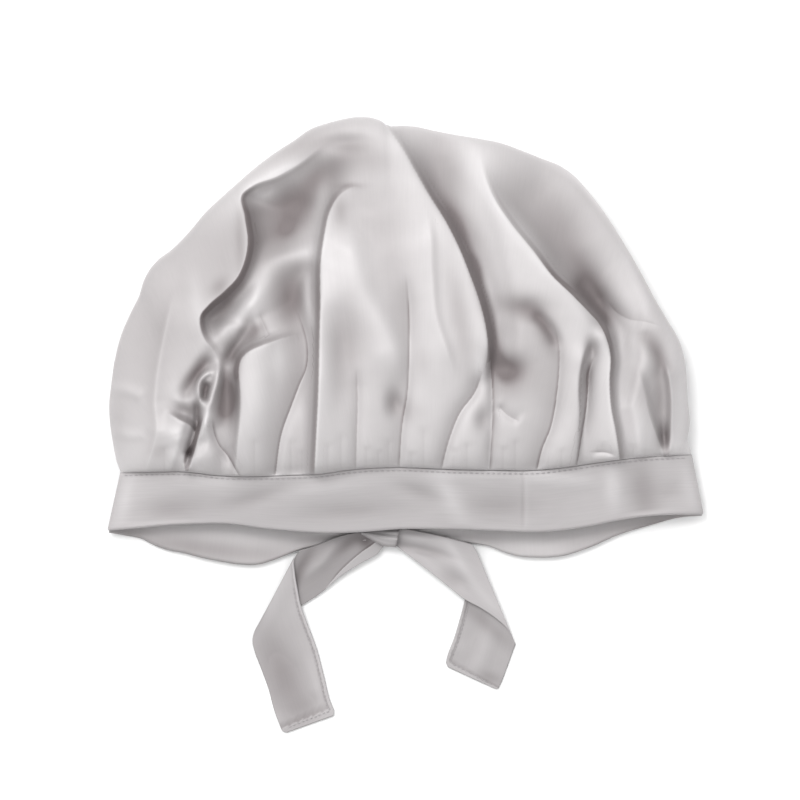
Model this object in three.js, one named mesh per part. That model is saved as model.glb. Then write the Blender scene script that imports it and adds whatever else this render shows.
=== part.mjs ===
// A satin hair bonnet laid flat on a table: a puffed crown of two gathered panels, a folded headband across the
// front of the mouth, two folded nape bands behind it, and a tie whose two ends come out of a knot and lie folded
// over in front of the mouth. Millimetres. +Z is up from the table, +Y runs from the mouth to the crown's far edge,
// and the origin is the point on the table under the middle of the headband's seam.
import * as THREE from "three";

// Driving sizes
const mouthWidth = 290; // the headband's lower edge, end to end
const crownHeight = 170; // headband seam to the far edge of the crown
const crownLoft = 37; // table to the top of the crown, without its folds
const headbandHeight = 29;
const napeBandHeight = 28;
const tieWidth = 28;
const clothThickness = 0.6; // one layer of satin with its backing
const threadThickness = 0.5;
const pieceGap = 0.3; // clear space between pieces that touch on the real bonnet
const joinGap = 0.5; // clear space along the sewn joins where two edges meet end to end

// Mouth
const seamInset = 5.5; // how much nearer the middle the headband's seam ends than its lower edge
const joinHeight = 6; // where headband and nape band meet at the sides, above the table
const mouthArch = 17; // the headband's lower edge above the table, at its middle
const seamArch = 25; // the headband's seam above the table, at its middle
const slotWidth = clothThickness + 2 * pieceGap; // between the two walls of a folded band
const bandThickness = slotWidth + 2 * clothThickness;
const seamAllowance = 6; // how far a crown panel's edge reaches into its band
const gatherLip = 2.4; // from the band's edge to where the crown starts to rise
const napeTurn = 4.5; // how far from its end the nape band turns up to the side join
const topstitchSetback = 1.8; // from the headband's seam edge to its row of stitches

// Crown
const rimHeight = 13; // the crown's outer edge above the table
const rimSlope = 0.1; // share of the way across the crown spent evenly, so that its edge isn't quite upright
const rimReach = 16; // how far the back panel turns under, from the outer edge to the table
const crownDrop = 8; // length in which the back panel comes down from its band to the table
const foldDepth = 12; // the deepest trough below the crown's smooth form
const foldReach = 16; // from the crest of the widest fold to its trough

// Knot and tie ends
const knotLength = 17;
const knotBreadth = 11;
const knotWall = 1.3;
const tieThickness = 2 * clothThickness; // a strip of two layers sewn into a flat tube
const tieRootWidth = 6.4;
const foldRise = 4.2; // middle of a tie where it crosses the nape band, above the table
const layerRise = 3.1; // middle of a tie where it crosses its own other half, above the table
const hemSetback = 2.8; // from a tie's cut end to its row of stitches

// Grid shares
const columnShare = 0.05; // one column of a band, of half its length
const frontRows = 14;
const backRows = 9;
const tieColumns = 5;
const tieRows = 12;
const wrapSegments = 24;

const halfMouth = mouthWidth / 2;
const halfSeam = halfMouth - seamInset;
const upperEnd = joinHeight + joinGap / 2; // the headband's side of the side join
const lowerEnd = joinHeight - joinGap / 2; // the nape band's side of it
const restingCloth = clothThickness / 2;
const restingTie = tieThickness / 2;
const { lerp, clamp, smoothstep } = THREE.MathUtils;
const vector = (x, y, z) => new THREE.Vector3(x, y, z);

// A smooth curve through evenly spaced values, read at a place from -1 to 1
function evenCurve(values) {
  const curve = new THREE.SplineCurve(values.map((value, k) => new THREE.Vector2(k, value)));
  return (place) => curve.getPoint((clamp(place, -1, 1) + 1) / 2).y;
}

// Bends a flat piece onto a surface: x and y pick the place on it and z is the distance along its normal.
function drape(geometry, surface) {
  const places = geometry.getAttribute("position");
  const step = 1e-4;
  for (let i = 0; i < places.count; i++) {
    const [u, v, offset] = [places.getX(i), places.getY(i), places.getZ(i)];
    const along = surface(u + step, v).sub(surface(u - step, v));
    const across = surface(u, v + step).sub(surface(u, v - step));
    const at = surface(u, v).addScaledVector(along.cross(across).normalize(), offset);
    places.setXYZ(i, at.x, at.y, at.z);
  }
  return geometry;
}

// A sheet along a surface whose u and v run from 0 to 1
function sheet(surface, thickness, columns, rows) {
  const flat = new THREE.BoxGeometry(1, 1, thickness, columns, rows, 1).translate(1 / 2, 1 / 2, 0);
  return drape(flat, surface);
}

const finish = (colour, roughness) => new THREE.MeshStandardMaterial({ color: colour, roughness, metalness: 0 });
const satin = finish(0xd2cfd0, 0.35);
const reverse = finish(0xb9b5b6, 0.45);
const thread = finish(0xa9a5a6, 0.6);

const bonnet = new THREE.Group();
function add(name, geometry, material) {
  const mesh = new THREE.Mesh(geometry, material);
  mesh.name = name;
  bonnet.add(mesh);
}

// Bands. Each has a lower edge and a seam edge drawn across the mouth, in shares of the band's height above the
// headband's seam line. A band's surface is read by s, from its left end to its right, and w, from fold to seam.
const headbandFoldShares = [-1.07, -1.01, -0.98, -1.0, -1.06, -1.08, -1.05, -1.05, -1.06, -1.0, -0.83];
const headbandSeamShares = [-0.08, -0.08, -0.13, -0.11, -0.04, 0, -0.01, -0.03, 0.02, 0.12, 0.2];
const napeFoldShares = [
  -1.1, -1.31, -1.51, -1.65, -1.55, -1.36, -1.28, -1.27, -1.28, -1.35, -1.53, -1.45, -1.16, -0.96, -0.84,
];
const napeSeamShares = [
  -0.09, -0.33, -0.52, -0.66, -0.64, -0.66, -0.72, -0.74, -0.72, -0.64, -0.6, -0.5, -0.26, 0.02, 0.16,
];
const headbandFold = evenCurve(headbandFoldShares);
const headbandSeam = evenCurve(headbandSeamShares);
const napeFold = evenCurve(napeFoldShares);
const napeSeam = evenCurve(napeSeamShares);

function headbandPoint(s, w) {
  const turn = (s * Math.PI) / 2;
  const across = Math.sin(turn);
  const arch = lerp(mouthArch, seamArch, w);
  const y = headbandHeight * lerp(headbandFold(across), headbandSeam(across), w);
  return vector(across * lerp(halfMouth, halfSeam, w), y, lerp(upperEnd, arch, Math.cos(turn)));
}

const turnShare = 3 * columnShare; // share of half a nape band taken by the turn at its end
const flatShare = 1 - turnShare;

// How far a place on the nape side has turned up towards the side join, from 0 on the table to 1 at the join
function turnedUp(s) {
  const turn = clamp((1 - Math.abs(s)) / turnShare, 0, 1) * (Math.PI / 2);
  return 1 - Math.sin(turn);
}

function napePoint(s, w) {
  const half = lerp(halfMouth, halfSeam, w);
  const turn = clamp((1 - Math.abs(s)) / turnShare, 0, 1) * (Math.PI / 2);
  const alongTable = Math.min(Math.abs(s) / flatShare, 1) * (half - napeTurn);
  const x = Math.sign(s) * (alongTable + napeTurn * Math.cos(turn));
  const y = napeBandHeight * lerp(napeFold(x / half), napeSeam(x / half), w);
  return vector(x, y, lerp(bandThickness / 2, lowerEnd, turnedUp(s)));
}

// A strip folded in half lengthwise: the fold along its lower edge, the slot between its walls open to the crown.
// Its columns are counted from the bonnet's side, so that a crown panel's columns lie along them.
function foldedBand(point, height, from, to) {
  const section = new THREE.Shape();
  section.moveTo(0, -bandThickness / 2);
  section.lineTo(height, -bandThickness / 2);
  section.lineTo(height, -slotWidth / 2);
  section.lineTo(0, -slotWidth / 2);
  section.absarc(0, 0, slotWidth / 2, -Math.PI / 2, -Math.PI * 1.5, true);
  section.lineTo(height, slotWidth / 2);
  section.lineTo(height, bandThickness / 2);
  section.lineTo(0, bandThickness / 2);
  section.absarc(0, 0, bandThickness / 2, Math.PI / 2, Math.PI * 1.5, false);
  const steps = Math.ceil((to - from) / columnShare - 1e-6);
  const strip = new THREE.ExtrudeGeometry(section, { depth: 1, steps, bevelEnabled: false, curveSegments: 2 });
  // The section's height runs along y, its thickness along z and its length along x, which is then read as s
  strip.applyMatrix4(new THREE.Matrix4().makeBasis(vector(0, 1 / height, 0), vector(0, 0, 1), vector(1, 0, 0)));
  const places = strip.getAttribute("position");
  for (let i = 0; i < places.count; i++) {
    const column = Math.round(places.getX(i) * steps);
    const fromLeft = Math.min(from + column * columnShare, to);
    const fromRight = Math.max(to - (steps - column) * columnShare, from);
    places.setX(i, Math.abs(from) > Math.abs(to) ? fromLeft : fromRight);
  }
  return drape(strip, point);
}

const knotX = -11; // the knot lies a little to the left of the middle
const knotY = -33;
const napeEndAt = (x) => (flatShare * x) / (halfSeam - napeTurn); // s of a place on the table
const knotLeft = napeEndAt(knotX - knotLength / 2 - 2 * pieceGap);
const knotRight = napeEndAt(knotX + knotLength / 2 + 2 * pieceGap);

add("headband", foldedBand(headbandPoint, headbandHeight, -1, 1), satin);
add("nape_band_left", foldedBand(napePoint, napeBandHeight, -1, knotLeft), satin);
add("nape_band_right", foldedBand(napePoint, napeBandHeight, knotRight, 1), satin);

// Headband topstitching: one row of thread along the seam edge
const topstitchShare = 1 - topstitchSetback / headbandHeight;
const threadRise = pieceGap + threadThickness / 2;
add(
  "headband_topstitching",
  drape(
    new THREE.BoxGeometry(2, 1, threadThickness, 2 / columnShare, 1, 1).translate(0, 0, bandThickness / 2 + threadRise),
    (s, v) => headbandPoint(s, topstitchShare + (v * threadThickness) / headbandHeight)
  ),
  thread
);

// Crown outline, the sewn edge between the two panels: distance from the headband seam's middle at even angles from
// the left end to the right, in shares of the crown's height
const outlineShares = [
  0.845, 0.882, 0.914, 0.924, 0.959, 1.018, 0.985, 0.975, 0.976, 0.901, 0.872, 0.851, 0.822,
];
const outlineTilt = THREE.MathUtils.degToRad(4); // the outline's two ends above the seam line
const outline = evenCurve(outlineShares);

function rimPoint(s, side) {
  const angle = lerp(Math.PI - outlineTilt, outlineTilt, (s + 1) / 2);
  const radius = crownHeight * outline(s);
  const lift = Math.sqrt(Math.max(Math.cos((s * Math.PI) / 2), 0));
  const z = lerp(joinHeight, rimHeight, lift) + (side * joinGap) / 2;
  return vector(radius * Math.cos(angle), radius * Math.sin(angle), z);
}

// Folds of the front panel. Their lines are drawn on a grid of squares with x to the right and y down, which is read
// in shares of the mouth's width and the crown's height. Heights are shares of the fold depth, and reaches to either
// side are shares of the fold reach.
const acrossShare = 1 / 594; // one square, of the mouth's width
const upShare = 1 / 348; // one square, of the crown's height
const seamShares = [405, 470]; // the middle of the headband's seam, in squares
// Laps, a crest with a soft back and a steep face above a trough: crest, back's reach, face's reach, trough, distance
// from crest to trough, line with the back on its left
const lapShares = [
  [0.47, 1.8, 0.12, 0.76, 0.4, [386, 124], [417, 177], [447, 222], [474, 277], [487, 327], [484, 372], [475, 395]],
  [0.52, 1.28, 0.12, 0.76, 0.43, [478, 146], [495, 202], [534, 252], [576, 300], [607, 343], [611, 418], [620, 470]],
  [0.41, 0.9, 0.25, 1.05, 1.04, [330, 134], [275, 175], [243, 195], [249, 245], [225, 293], [203, 330], [221, 362]],
  [0.47, 0.9, 0.1, 0.52, 0.43, [315, 474], [319, 393], [321, 302], [325, 235], [342, 194], [366, 196]],
  [0.41, 0.73, 0.15, 0.35, 0.37, [244, 366], [267, 350], [292, 343], [308, 338]],
];
// Creases, a valley where two swells meet: depth, reach to the left, reach to the right, line
const creaseShares = [
  [0.52, 0.67, 0.15, [496, 306], [542, 306], [560, 360], [550, 427], [538, 470]],
  [0.64, 0.12, 0.37, [590, 335], [579, 390], [575, 470]],
  [0.47, 0.37, 0.1, [664, 345], [670, 400], [668, 462]],
  [0.41, 0.52, 0.12, [308, 345], [300, 385], [276, 474]],
  [0.35, 0.28, 0.12, [484, 365], [460, 412], [441, 470]],
  [0.35, 0.5, 0.12, [406, 270], [409, 360], [399, 474]],
];
// Hollows: depth, half width, half length, middle. A swell is one of less than no depth.
const hollowShares = [
  [0.47, 0.85, 1.2, [440, 168]],
  [0.41, 0.6, 0.98, [588, 290]],
  [0.29, 0.8, 1.1, [522, 182]],
  [0.58, 0.61, 0.73, [512, 366]],
  [0.82, 0.52, 0.73, [288, 308]],
  [-0.64, 0.7, 0.45, [275, 270]],
  [-0.35, 0.67, 1.68, [264, 400]],
  [0.82, 0.27, 0.8, [231, 402]],
  [0.58, 0.27, 0.52, [196, 420]],
];
const foldPlace = ([x, y]) =>
  new THREE.Vector2(
    (x - seamShares[0]) * acrossShare * mouthWidth,
    (seamShares[1] - y) * upShare * crownHeight
  );
const isMet = (end) => foldPlace(end).y <= napeBandHeight / 4; // the fold runs on into the headband
const linePoints = 16;
const foldLines = [...lapShares, ...creaseShares].map((row) => {
  const ends = row.filter(Array.isArray);
  const sizes = row.filter((value) => !Array.isArray(value));
  const points = new THREE.SplineCurve(ends.map(foldPlace)).getPoints(linePoints);
  return { sizes, points, met: [isMet(ends[0]), isMet(ends[ends.length - 1])] };
});

// Where a place lies by a fold: its distance from the line, how far it is on the line's right from 0 to 1, and how
// near the line's free ends it is, from 0 at an end to 1
function besideLine({ points, met }, place) {
  let [nearest, weights, offset, share] = [Infinity, 0, 0, 0];
  for (let k = 1; k < points.length; k++) {
    const step = points[k].clone().sub(points[k - 1]);
    const away = place.clone().sub(points[k - 1]);
    const t = clamp(away.dot(step) / step.lengthSq(), 0, 1);
    const gap = away.clone().addScaledVector(step, -t).lengthSq() / (foldReach * foldReach);
    const weight = Math.pow(gap + 1e-4, -4);
    nearest = Math.min(nearest, gap);
    weights += weight;
    offset += (weight * step.cross(away)) / (step.length() * foldReach);
    share += (weight * (k - 1 + t)) / (points.length - 1);
  }
  const distance = Math.sqrt(nearest);
  const right = smoothstep(offset / weights / (distance + 0.01), -0.5, 0.5);
  const fade = [share / weights, 1 - share / weights].reduce(
    (product, toEnd, k) => product * (met[k] ? 1 : smoothstep(toEnd, 0, 0.22)), 1
  );
  return { distance, right, fade };
}

// Height of the folds at a place on the crown
function foldsAt(x, y) {
  const place = new THREE.Vector2(x, y);
  let total = 0;
  for (const fold of foldLines) {
    const { distance, right, fade } = besideLine(fold, place);
    if (fold.sizes.length === 3) {
      const [depth, left, far] = fold.sizes;
      total -= fade * depth * Math.exp(-distance / lerp(left, far, right));
    } else {
      const [crest, back, face, trough, far] = fold.sizes;
      const hill = lerp(Math.exp(-distance / back), Math.exp(-distance / face), right);
      total += fade * (crest * hill - right * trough * (distance / far) * Math.exp(1 - distance / far));
    }
  }
  for (const [depth, wide, long, middle] of hollowShares) {
    const away = foldPlace(middle).sub(place).divideScalar(foldReach);
    total -= depth * Math.exp(-((away.x / wide) ** 2) - (away.y / long) ** 2);
  }
  return total * foldDepth;
}

const allowanceShare = (height) => 1 - seamAllowance / height;
const lipShare = (height) => 1 + gatherLip / height;

// Front panel: its edge in the headband's slot, then an arch from the headband over to the outline. The arch is
// steep at the edges and nearly flat on top.
const swell = (share, power, lead) => (share * Math.pow(1 + lead, power)) / Math.pow(share + lead, power);
const crownRise = crownLoft - (seamArch + rimHeight) / 2;
function frontPanelPoint(u, v) {
  const s = 2 * u - 1;
  const row = v * frontRows;
  const start = lipShare(headbandHeight);
  if (row <= 1) return headbandPoint(s, lerp(allowanceShare(headbandHeight), start, row));
  const turn = (Math.PI * (row - 1)) / (frontRows - 1);
  const crossed = lerp((1 - Math.cos(turn)) / 2, turn / Math.PI, rimSlope);
  const at = headbandPoint(s, start).lerp(rimPoint(s, 1), crossed);
  const sideShare = swell(Math.max(Math.cos((s * Math.PI) / 2), 0), 0.6, 0.08);
  const share = swell(Math.max(Math.sin(turn), 0), 0.5, 0.12);
  at.z += crownRise * sideShare * share;
  at.z += foldsAt(at.x, at.y) * smoothstep(share, 0, 0.55) * Math.min(1.6 * sideShare, 1);
  return at;
}
add("crown_front_panel", sheet(frontPanelPoint, clothThickness, 2 / columnShare, frontRows), satin);

// Back panel: its edge in the nape bands' slots, down to the table, flat, then up a quarter turn to the outline
const dropRow = 2;
const turnRow = 5;
function backPanelPoint(u, v) {
  const s = 2 * u - 1;
  const row = v * backRows;
  const start = lipShare(napeBandHeight);
  if (row <= 1) return napePoint(s, lerp(allowanceShare(napeBandHeight), start, row));
  const from = napePoint(s, start);
  const to = rimPoint(s, -1);
  const length = Math.hypot(to.x - from.x, to.y - from.y);
  const reach = Math.min(rimReach, length / 2);
  const drop = Math.min(crownDrop, length / 4);
  const low = lerp(restingCloth, lowerEnd, turnedUp(s));
  const turn = clamp((row - turnRow) / (backRows - turnRow), 0, 1) * (Math.PI / 2);
  let distance = lerp(0, drop, row - 1);
  if (row > dropRow) distance = lerp(drop, length - reach, (row - dropRow) / (turnRow - dropRow));
  if (row > turnRow) distance = length - reach + reach * Math.sin(turn);
  const z = row < dropRow ? lerp(from.z, low, row - 1) : lerp(to.z, low, Math.cos(turn));
  return from.lerp(to, distance / length).setZ(z);
}
add("crown_back_panel", sheet(backPanelPoint, clothThickness, 2 / columnShare, backRows), satin);

// Knot: one turn of the tie drawn round its own ends, open to the left and right
const knotCentre = vector(knotX, knotY, knotBreadth / 2 + pieceGap);
const wrapSection = new THREE.Shape().absarc(0, 0, knotBreadth / 2, 0, 2 * Math.PI);
wrapSection.holes.push(new THREE.Path().absarc(0, 0, knotBreadth / 2 - knotWall, 0, 2 * Math.PI, true));
const wrap = new THREE.ExtrudeGeometry(wrapSection, {
  depth: knotLength, steps: 1, bevelEnabled: false, curveSegments: wrapSegments,
});
wrap.translate(0, 0, -knotLength / 2).rotateY(Math.PI / 2);
add("knot_wrap", wrap.translate(knotCentre.x, knotCentre.y, knotCentre.z), satin);

// Tie ends, each in two halves either side of its fold. A half is given by its two long edges, each a line of
// points from the knot's end of it onwards, in tie widths from the knot's centre, with heights above the table.
const along = (point, rise) => vector(knotX + point[0] * tieWidth, knotY + point[1] * tieWidth, rise);

function ruledSurface(firstEdge, secondEdge) {
  const [first, second] = [firstEdge, secondEdge].map((edge) => new THREE.CatmullRomCurve3(edge, false, "centripetal"));
  return (u, v) => {
    const at = first.getPoint(clamp(v, 0, 1)).lerp(second.getPoint(clamp(v, 0, 1)), u);
    return at.setZ(Math.max(at.z, restingTie));
  };
}

const rootRise = knotCentre.z;
const layerStep = tieThickness + pieceGap; // from the middle of one half of a tie to the middle of the next
const stackedRise = restingTie + layerStep;
const rootShare = tieRootWidth / 2 / tieWidth;
const mouthShare = knotLength / 2 / tieWidth;
const tuckShare = mouthShare - 0.12;
const rootEdge = (side, edge) => [
  along([side * tuckShare, edge * rootShare], rootRise),
  along([side * (mouthShare + 0.02), edge * rootShare], rootRise),
];

const leftUpper = ruledSurface(
  [
    ...rootEdge(-1, -1),
    along([-0.45, -0.38], rootRise), along([-1.1, -0.98], layerRise), along([-2.27, -1.79], restingTie),
  ],
  [
    ...rootEdge(-1, 1),
    along([-0.6, 0.07], rootRise), along([-1.12, -0.12], foldRise), along([-1.49, -0.25], foldRise),
  ]
);
const leftLower = ruledSurface(
  [
    along([-1.46, -0.24], foldRise + layerRise - restingTie), along([-1.45, -1.1], foldRise),
    along([-1.2, -2.0], restingTie), along([-0.81, -3.11], restingTie),
  ],
  [
    along([-2.25, -1.8], layerRise), along([-2.2, -2.05], layerRise), along([-2.0, -2.66], restingTie),
    along([-1.77, -3.46], restingTie),
  ]
);
const rightUpper = ruledSurface(
  [
    ...rootEdge(1, 1),
    along([0.83, 0.05], rootRise), along([1.35, -0.06], foldRise), along([1.58, -0.11], foldRise),
  ],
  [
    ...rootEdge(1, -1),
    along([0.48, -0.34], rootRise), along([1.18, -0.88], foldRise), along([2.33, -1.87], stackedRise),
  ]
);
const rightLower = ruledSurface(
  [
    along([2.32, -1.89], restingTie), along([2.26, -2.1], restingTie), along([2.14, -2.4], restingTie),
    along([2.01, -2.68], restingTie),
  ],
  [
    along([1.61, -0.24], foldRise - layerStep), along([1.45, -0.98], restingTie), along([1.27, -1.6], restingTie),
    along([1.09, -2.26], restingTie),
  ]
);
add("tie_left_upper", sheet(leftUpper, tieThickness, tieColumns, tieRows), reverse);
add("tie_left_lower", sheet(leftLower, tieThickness, tieColumns, tieRows), satin);
add("tie_right_upper", sheet(rightUpper, tieThickness, tieColumns, tieRows), satin);
add("tie_right_lower", sheet(rightLower, tieThickness, tieColumns, tieRows), reverse);

// Hem stitching: a row of thread across each tie end
function hem(surface, length) {
  const row = new THREE.BoxGeometry(1, threadThickness / length, threadThickness, tieColumns, 1, 1);
  row.translate(1 / 2, 1 - hemSetback / length, tieThickness / 2 + threadRise);
  return drape(row, surface);
}
add("tie_left_hem_stitching", hem(leftLower, 3 * tieWidth), thread);
add("tie_right_hem_stitching", hem(rightLower, 1.5 * tieWidth), thread);

export default bonnet;
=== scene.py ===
# A satin hair bonnet laid flat on a table, its mouth towards the viewer and its tie ends folded over in front
# of it. Lengths are in metres, and each list of drawn lines says what else it holds.
import bpy, bmesh
import numpy as np
from mathutils import Matrix, Vector


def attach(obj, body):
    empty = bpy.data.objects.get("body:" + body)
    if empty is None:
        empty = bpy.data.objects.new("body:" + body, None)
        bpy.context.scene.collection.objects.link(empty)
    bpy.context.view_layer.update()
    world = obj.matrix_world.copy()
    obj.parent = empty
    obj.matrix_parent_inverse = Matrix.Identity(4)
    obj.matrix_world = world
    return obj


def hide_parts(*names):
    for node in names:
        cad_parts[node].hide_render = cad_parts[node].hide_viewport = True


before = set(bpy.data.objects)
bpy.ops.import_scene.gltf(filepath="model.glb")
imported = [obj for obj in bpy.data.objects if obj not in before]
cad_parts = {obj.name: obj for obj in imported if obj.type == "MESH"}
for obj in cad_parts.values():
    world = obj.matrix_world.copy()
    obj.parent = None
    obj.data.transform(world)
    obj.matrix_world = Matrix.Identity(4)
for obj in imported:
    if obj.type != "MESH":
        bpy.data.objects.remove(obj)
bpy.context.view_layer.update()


# Camera, table and light
# The bonnet is seen from straight above, from far enough away to look flat. Places on it are read on a
# drafting grid of 800 squares: x to the right and y down, as the outlines were drawn.
GRID = 800
SQUARE = 0.0004882
ORIGIN = (405, 470)


def plan(x, y):
    """Metres on the table, from squares of the drafting grid"""
    return (x - ORIGIN[0]) * SQUARE, (ORIGIN[1] - y) * SQUARE


def made(bm, name):
    """The object of a finished bmesh, in the scene"""
    piece = bpy.data.objects.new(name, bpy.data.meshes.new(name))
    bm.to_mesh(piece.data)
    bm.free()
    bpy.context.collection.objects.link(piece)
    return piece


camera_height = 3.0
true_height = 0.012  # where the picture shows lengths at the grid's own scale
film_width = 36
view_x, view_y = plan(GRID / 2, GRID / 2)
camera = bpy.data.objects.new("camera", bpy.data.cameras.new("camera"))
camera.location = (view_x, view_y, camera_height)
camera.data.sensor_width = film_width
camera.data.lens = film_width * (camera_height - true_height) / (GRID * SQUARE)
bpy.context.collection.objects.link(camera)
bpy.context.scene.camera = camera

bm = bmesh.new()
bmesh.ops.create_grid(bm, x_segments=1, y_segments=1, size=4)
floor = made(bm, "table")
floor_paint = bpy.data.materials.new("table")
floor_paint.use_nodes = True
floor_shader = floor_paint.node_tree.nodes["Principled BSDF"]
floor_shader.inputs["Base Color"].default_value = (0.93, 0.93, 0.93, 1)
floor_shader.inputs["Roughness"].default_value = 0.9
floor.data.materials.append(floor_paint)

softbox_place = Vector((-0.9, 1.3, 2.8))
softbox_aim = Vector((0, 0.03, 0))
softbox = bpy.data.objects.new("softbox", bpy.data.lights.new("softbox", "AREA"))
softbox.data.shape = "RECTANGLE"
softbox.data.size, softbox.data.size_y = 1.2, 1.2
softbox.data.energy = 40
softbox.location = softbox_place
softbox.rotation_euler = (softbox_aim - softbox_place).to_track_quat("-Z", "Y").to_euler()
bpy.context.collection.objects.link(softbox)

# The room is white, brightest overhead and a little beyond the bonnet, and dim at the height of the table
world = bpy.data.worlds.new("studio")
world.use_nodes = True
nodes, links = world.node_tree.nodes, world.node_tree.links
toward = nodes.new("ShaderNodeVectorMath")
toward.operation = "DOT_PRODUCT"
toward.inputs[1].default_value = Vector((-0.12, 0.3, 0.94)).normalized()
glow = nodes.new("ShaderNodeMapRange")
glow.interpolation_type = "SMOOTHSTEP"
for key, number in (("From Min", -0.2), ("From Max", 1.0), ("To Min", 0.12), ("To Max", 1.4)):
    glow.inputs[key].default_value = number
links.new(nodes.new("ShaderNodeTexCoord").outputs["Generated"], toward.inputs[0])
links.new(toward.outputs["Value"], glow.inputs["Value"])
links.new(glow.outputs[0], nodes["Background"].inputs["Strength"])
nodes["Background"].inputs["Color"].default_value = (1, 1, 1, 1)
bpy.context.scene.world = world
bpy.context.scene.view_settings.view_transform = "Standard"


# Crown, upper panel
# A wide piece of satin, gathered along the headband and eased into the seam round the crown's far edge. It
# stands up over the lower panel in soft folds: long laps from the crown, and gathers out of the headband.
def through(points):
    """A smooth line through the points. It takes shares of its length and gives the places there."""
    points = np.array(points, float)
    far = np.r_[0, np.cumsum(np.linalg.norm(np.diff(points, axis=0), axis=1))]
    slope = np.gradient(points, far, axis=0)

    def line(share):
        reached = np.clip(np.asarray(share, float), 0, 1) * far[-1]
        k = np.clip(np.searchsorted(far, reached, side="right") - 1, 0, len(far) - 2)
        gap = (far[k + 1] - far[k])[..., None]
        t = (reached - far[k])[..., None] / gap
        return (
            (2 * t**3 - 3 * t**2 + 1) * points[k] + (t**3 - 2 * t**2 + t) * gap * slope[k]
            + (3 * t**2 - 2 * t**3) * points[k + 1] + (t**3 - t**2) * gap * slope[k + 1]
        )

    return line


def smooth(low, high, value):
    """From 0 at low to 1 at high, eased at both ends"""
    t = np.clip((value - low) / (high - low), 0, 1)
    return t * t * (3 - 2 * t)


def squares(at):
    """Squares of the drafting grid, from places in metres"""
    return at[:, 0] / SQUARE + ORIGIN[0], ORIGIN[1] - at[:, 1] / SQUARE


def cloth(name, columns, rows, place, thickness=0.0, material=None):
    """A woven sheet: place(u, v) gives x, y and z of the threads at shares u and v across it. It may also
    give how much painted shade they take, how far they lie to the shaded side of a fold's edge, and how dark
    the painted shadow along that edge is."""
    bm = bmesh.new()
    bm.loops.layers.uv.new("weave")
    bmesh.ops.create_grid(bm, x_segments=columns, y_segments=rows, size=0.5, calc_uvs=True)
    at = np.array([v.co for v in bm.verts])
    x, y, z, *shading = place(at[:, 0] + 0.5, at[:, 1] + 0.5)
    for vert, co in zip(bm.verts, np.stack([x, y, z], 1)):
        vert.co = co
    for key, values in zip(("shade", "edge", "edge_shadow"), shading):
        layer = bm.verts.layers.float.new(key)
        for vert, value in zip(bm.verts, values):
            vert[layer] = value
    if thickness:
        bmesh.ops.solidify(bm, geom=bm.faces[:], thickness=thickness)
    for face in bm.faces:
        face.smooth = True
    piece = made(bm, name)
    if material:
        piece.data.materials.append(material)
    return piece


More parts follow.
